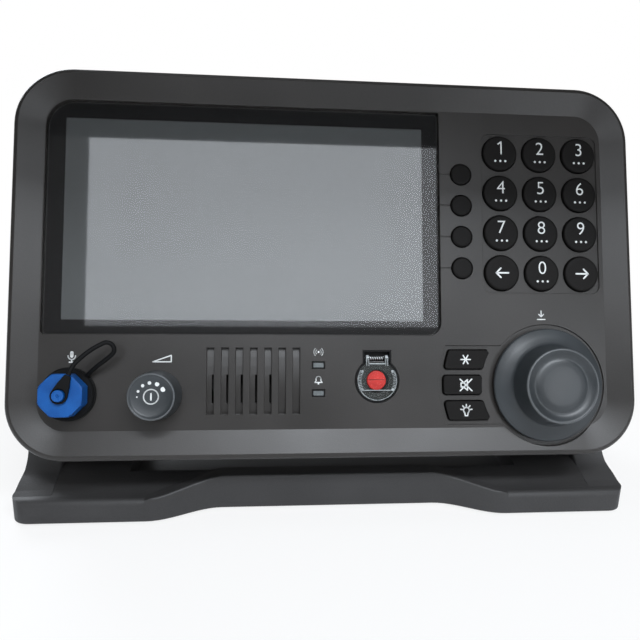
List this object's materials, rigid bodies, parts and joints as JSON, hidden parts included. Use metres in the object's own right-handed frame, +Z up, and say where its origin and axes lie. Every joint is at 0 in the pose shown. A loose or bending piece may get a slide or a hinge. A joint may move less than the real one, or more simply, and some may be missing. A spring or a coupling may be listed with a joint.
{
  "type": "marine radio control head",
  "caption": "Control head of a marine radio with a wide display, keypad, tuning and volume knobs, covered distress button and capped microphone socket, on a tilting desk base.",
  "frame": {"origin": "centre of the desk bolt pattern on the underside of the base", "axes": "+X to the viewer's right along the width, +Y to the back of the set, +Z up off the desk"},
  "size_m": [0.2926, 0.1296, 0.1879],
  "materials": {
    "shell_plastic": "fine textured",
    "coated_metal": "powder coated, matt",
    "steel": "plain",
    "rubber": "moulded",
    "knob_plastic": "satin",
    "key_rubber": "coated, printed marks",
    "window": "polished",
    "display": "flat panel in a frame",
    "board": "solder mask",
    "control_metal": "turned",
    "black_plastic": "moulded",
    "blue_plastic": "moulded",
    "speaker_metal": "plain",
    "cone": "treated paper",
    "lens": "diffused",
    "red_plastic": "moulded",
    "clear_plastic": "clear",
    "brass": "turned"
  },
  "bodies": {
    "bracket": {"base": "coated_metal", "left_arm": "coated_metal", "right_arm": "coated_metal", "arm_screws": "steel", "rubber_pads": "rubber", "friction_washers": "rubber"},
    "head": {"front_bezel": "shell_plastic", "rear_case": "coated_metal", "case_gasket": "rubber", "case_screws": "steel", "window_glass": "window", "display_module": "display", "key_mat": "key_rubber", "key_board": "board", "main_board": "board", "tuning_encoder": "control_metal", "volume_control": "control_metal", "mic_socket": "black_plastic", "mic_nut": "steel", "cap_strap": "rubber", "speaker": "speaker_metal", "speaker_cone": "cone", "indicator_lenses": "lens", "distress_well": "black_plastic", "distress_switch": "black_plastic", "cover_pin": "steel", "cover_spring": "steel", "link_socket": "black_plastic", "earth_stud": "brass"},
    "left_clamp": {"left_clamp_knob": "knob_plastic"},
    "right_clamp": {"right_clamp_knob": "knob_plastic"},
    "tuning_push": {"tuning_plunger": "black_plastic"},
    "tuning_turn": {"tuning_shaft": "control_metal", "tuning_knob": "knob_plastic"},
    "volume_push": {"volume_plunger": "black_plastic"},
    "volume_turn": {"volume_shaft": "control_metal", "volume_knob": "knob_plastic"},
    "cap_eye": {"strap_eye": "rubber"},
    "cap": {"mic_cap": "blue_plastic"},
    "distress_press": {"distress_button": "red_plastic"},
    "distress_flap": {"distress_cover": "clear_plastic"},
    "key_1_cap": {"key_1": "key_rubber"},
    "key_2_cap": {"key_2": "key_rubber"},
    "key_3_cap": {"key_3": "key_rubber"},
    "key_4_cap": {"key_4": "key_rubber"},
    "key_5_cap": {"key_5": "key_rubber"},
    "key_6_cap": {"key_6": "key_rubber"},
    "key_7_cap": {"key_7": "key_rubber"},
    "key_8_cap": {"key_8": "key_rubber"},
    "key_9_cap": {"key_9": "key_rubber"},
    "key_left_cap": {"key_left": "key_rubber"},
    "key_0_cap": {"key_0": "key_rubber"},
    "key_right_cap": {"key_right": "key_rubber"},
    "soft_key_1_cap": {"soft_key_1": "key_rubber"},
    "soft_key_2_cap": {"soft_key_2": "key_rubber"},
    "soft_key_3_cap": {"soft_key_3": "key_rubber"},
    "soft_key_4_cap": {"soft_key_4": "key_rubber"},
    "side_key_top_cap": {"side_key_top": "key_rubber"},
    "side_key_mute_cap": {"side_key_mute": "key_rubber"},
    "side_key_lamp_cap": {"side_key_lamp": "key_rubber"}
  },
  "joints": [
    {"name": "head_tilt", "type": "hinge", "parent": "bracket", "child": "head", "pos_m": [0, 0, 0.0905], "axis": [1, 0, 0], "range_deg": [-35, 5]},
    {"name": "left_clamp_turn", "type": "hinge", "parent": "head", "child": "left_clamp", "pos_m": [-0.1395, 0, 0.0905], "axis": [-1, 0, 0], "range_deg": [0, 360]},
    {"name": "right_clamp_turn", "type": "hinge", "parent": "head", "child": "right_clamp", "pos_m": [0.1395, 0, 0.0905], "axis": [1, 0, 0], "range_deg": [0, 360]},
    {"name": "tuning_press", "type": "slide", "parent": "head", "child": "tuning_push", "axis": [0, 0.9511, -0.309], "range_m": [0, 0.0007], "stiffness_N_per_m": 2500, "springref_m": -0.0008},
    {"name": "tuning_spin", "type": "hinge", "parent": "tuning_push", "child": "tuning_turn", "pos_m": [0.0942, -0.05974, 0.06196], "axis": [0, 0.9511, -0.309], "continuous": true},
    {"name": "volume_press", "type": "slide", "parent": "head", "child": "volume_push", "axis": [0, 0.9511, -0.309], "range_m": [0, 0.0007], "stiffness_N_per_m": 2000, "springref_m": -0.0008},
    {"name": "volume_spin", "type": "hinge", "parent": "volume_push", "child": "volume_turn", "pos_m": [-0.0736, -0.06085, 0.05854], "axis": [0, 0.9511, -0.309], "range_deg": [-150, 150]},
    {"name": "cap_lift", "type": "slide", "parent": "head", "child": "cap_eye", "axis": [0, -0.9511, 0.309], "range_m": [0, 0.0045], "deforming": ["cap_strap"]},
    {"name": "cap_unscrew", "type": "hinge", "parent": "cap_eye", "child": "cap", "pos_m": [-0.1092, -0.06263, 0.05954], "axis": [0, -0.9511, 0.309], "range_deg": [0, 1080.1]},
    {"name": "distress_push", "type": "slide", "parent": "head", "child": "distress_press", "axis": [0, 0.9511, -0.309], "range_m": [0, 0.001], "stiffness_N_per_m": 2000, "springref_m": -0.0008},
    {"name": "distress_lift", "type": "hinge", "parent": "head", "child": "distress_flap", "pos_m": [0.0188, -0.0476, 0.07022], "axis": [-1, 0, 0], "range_deg": [0, 110], "stiffness_Nm_per_rad": 0.001, "springref_deg": -34.38},
    {"name": "key_1_press", "type": "slide", "parent": "head", "child": "key_1_cap", "axis": [0, 0.9511, -0.309], "range_m": [0, 0.0008], "stiffness_N_per_m": 1500, "springref_m": -0.0008},
    {"name": "key_2_press", "type": "slide", "parent": "head", "child": "key_2_cap", "axis": [0, 0.9511, -0.309], "range_m": [0, 0.0008], "stiffness_N_per_m": 1500, "springref_m": -0.0008},
    {"name": "key_3_press", "type": "slide", "parent": "head", "child": "key_3_cap", "axis": [0, 0.9511, -0.309], "range_m": [0, 0.0008], "stiffness_N_per_m": 1500, "springref_m": -0.0008},
    {"name": "key_4_press", "type": "slide", "parent": "head", "child": "key_4_cap", "axis": [0, 0.9511, -0.309], "range_m": [0, 0.0008], "stiffness_N_per_m": 1500, "springref_m": -0.0008},
    {"name": "key_5_press", "type": "slide", "parent": "head", "child": "key_5_cap", "axis": [0, 0.9511, -0.309], "range_m": [0, 0.0008], "stiffness_N_per_m": 1500, "springref_m": -0.0008},
    {"name": "key_6_press", "type": "slide", "parent": "head", "child": "key_6_cap", "axis": [0, 0.9511, -0.309], "range_m": [0, 0.0008], "stiffness_N_per_m": 1500, "springref_m": -0.0008},
    {"name": "key_7_press", "type": "slide", "parent": "head", "child": "key_7_cap", "axis": [0, 0.9511, -0.309], "range_m": [0, 0.0008], "stiffness_N_per_m": 1500, "springref_m": -0.0008},
    {"name": "key_8_press", "type": "slide", "parent": "head", "child": "key_8_cap", "axis": [0, 0.9511, -0.309], "range_m": [0, 0.0008], "stiffness_N_per_m": 1500, "springref_m": -0.0008},
    {"name": "key_9_press", "type": "slide", "parent": "head", "child": "key_9_cap", "axis": [0, 0.9511, -0.309], "range_m": [0, 0.0008], "stiffness_N_per_m": 1500, "springref_m": -0.0008},
    {"name": "key_left_press", "type": "slide", "parent": "head", "child": "key_left_cap", "axis": [0, 0.9511, -0.309], "range_m": [0, 0.0008], "stiffness_N_per_m": 1500, "springref_m": -0.0008},
    {"name": "key_0_press", "type": "slide", "parent": "head", "child": "key_0_cap", "axis": [0, 0.9511, -0.309], "range_m": [0, 0.0008], "stiffness_N_per_m": 1500, "springref_m": -0.0008},
    {"name": "key_right_press", "type": "slide", "parent": "head", "child": "key_right_cap", "axis": [0, 0.9511, -0.309], "range_m": [0, 0.0008], "stiffness_N_per_m": 1500, "springref_m": -0.0008},
    {"name": "soft_key_1_press", "type": "slide", "parent": "head", "child": "soft_key_1_cap", "axis": [0, 0.9511, -0.309], "range_m": [0, 0.0008], "stiffness_N_per_m": 1500, "springref_m": -0.0008},
    {"name": "soft_key_2_press", "type": "slide", "parent": "head", "child": "soft_key_2_cap", "axis": [0, 0.9511, -0.309], "range_m": [0, 0.0008], "stiffness_N_per_m": 1500, "springref_m": -0.0008},
    {"name": "soft_key_3_press", "type": "slide", "parent": "head", "child": "soft_key_3_cap", "axis": [0, 0.9511, -0.309], "range_m": [0, 0.0008], "stiffness_N_per_m": 1500, "springref_m": -0.0008},
    {"name": "soft_key_4_press", "type": "slide", "parent": "head", "child": "soft_key_4_cap", "axis": [0, 0.9511, -0.309], "range_m": [0, 0.0008], "stiffness_N_per_m": 1500, "springref_m": -0.0008},
    {"name": "side_key_top_press", "type": "slide", "parent": "head", "child": "side_key_top_cap", "axis": [0, 0.9511, -0.309], "range_m": [0, 0.0008], "stiffness_N_per_m": 1500, "springref_m": -0.0008},
    {"name": "side_key_mute_press", "type": "slide", "parent": "head", "child": "side_key_mute_cap", "axis": [0, 0.9511, -0.309], "range_m": [0, 0.0008], "stiffness_N_per_m": 1500, "springref_m": -0.0008},
    {"name": "side_key_lamp_press", "type": "slide", "parent": "head", "child": "side_key_lamp_cap", "axis": [0, 0.9511, -0.309], "range_m": [0, 0.0008], "stiffness_N_per_m": 1500, "springref_m": -0.0008}
  ],
  "couplings": [
    {"joint": "cap_unscrew", "follows": "cap_lift", "rad_per_m": 4188.8}
  ]
}
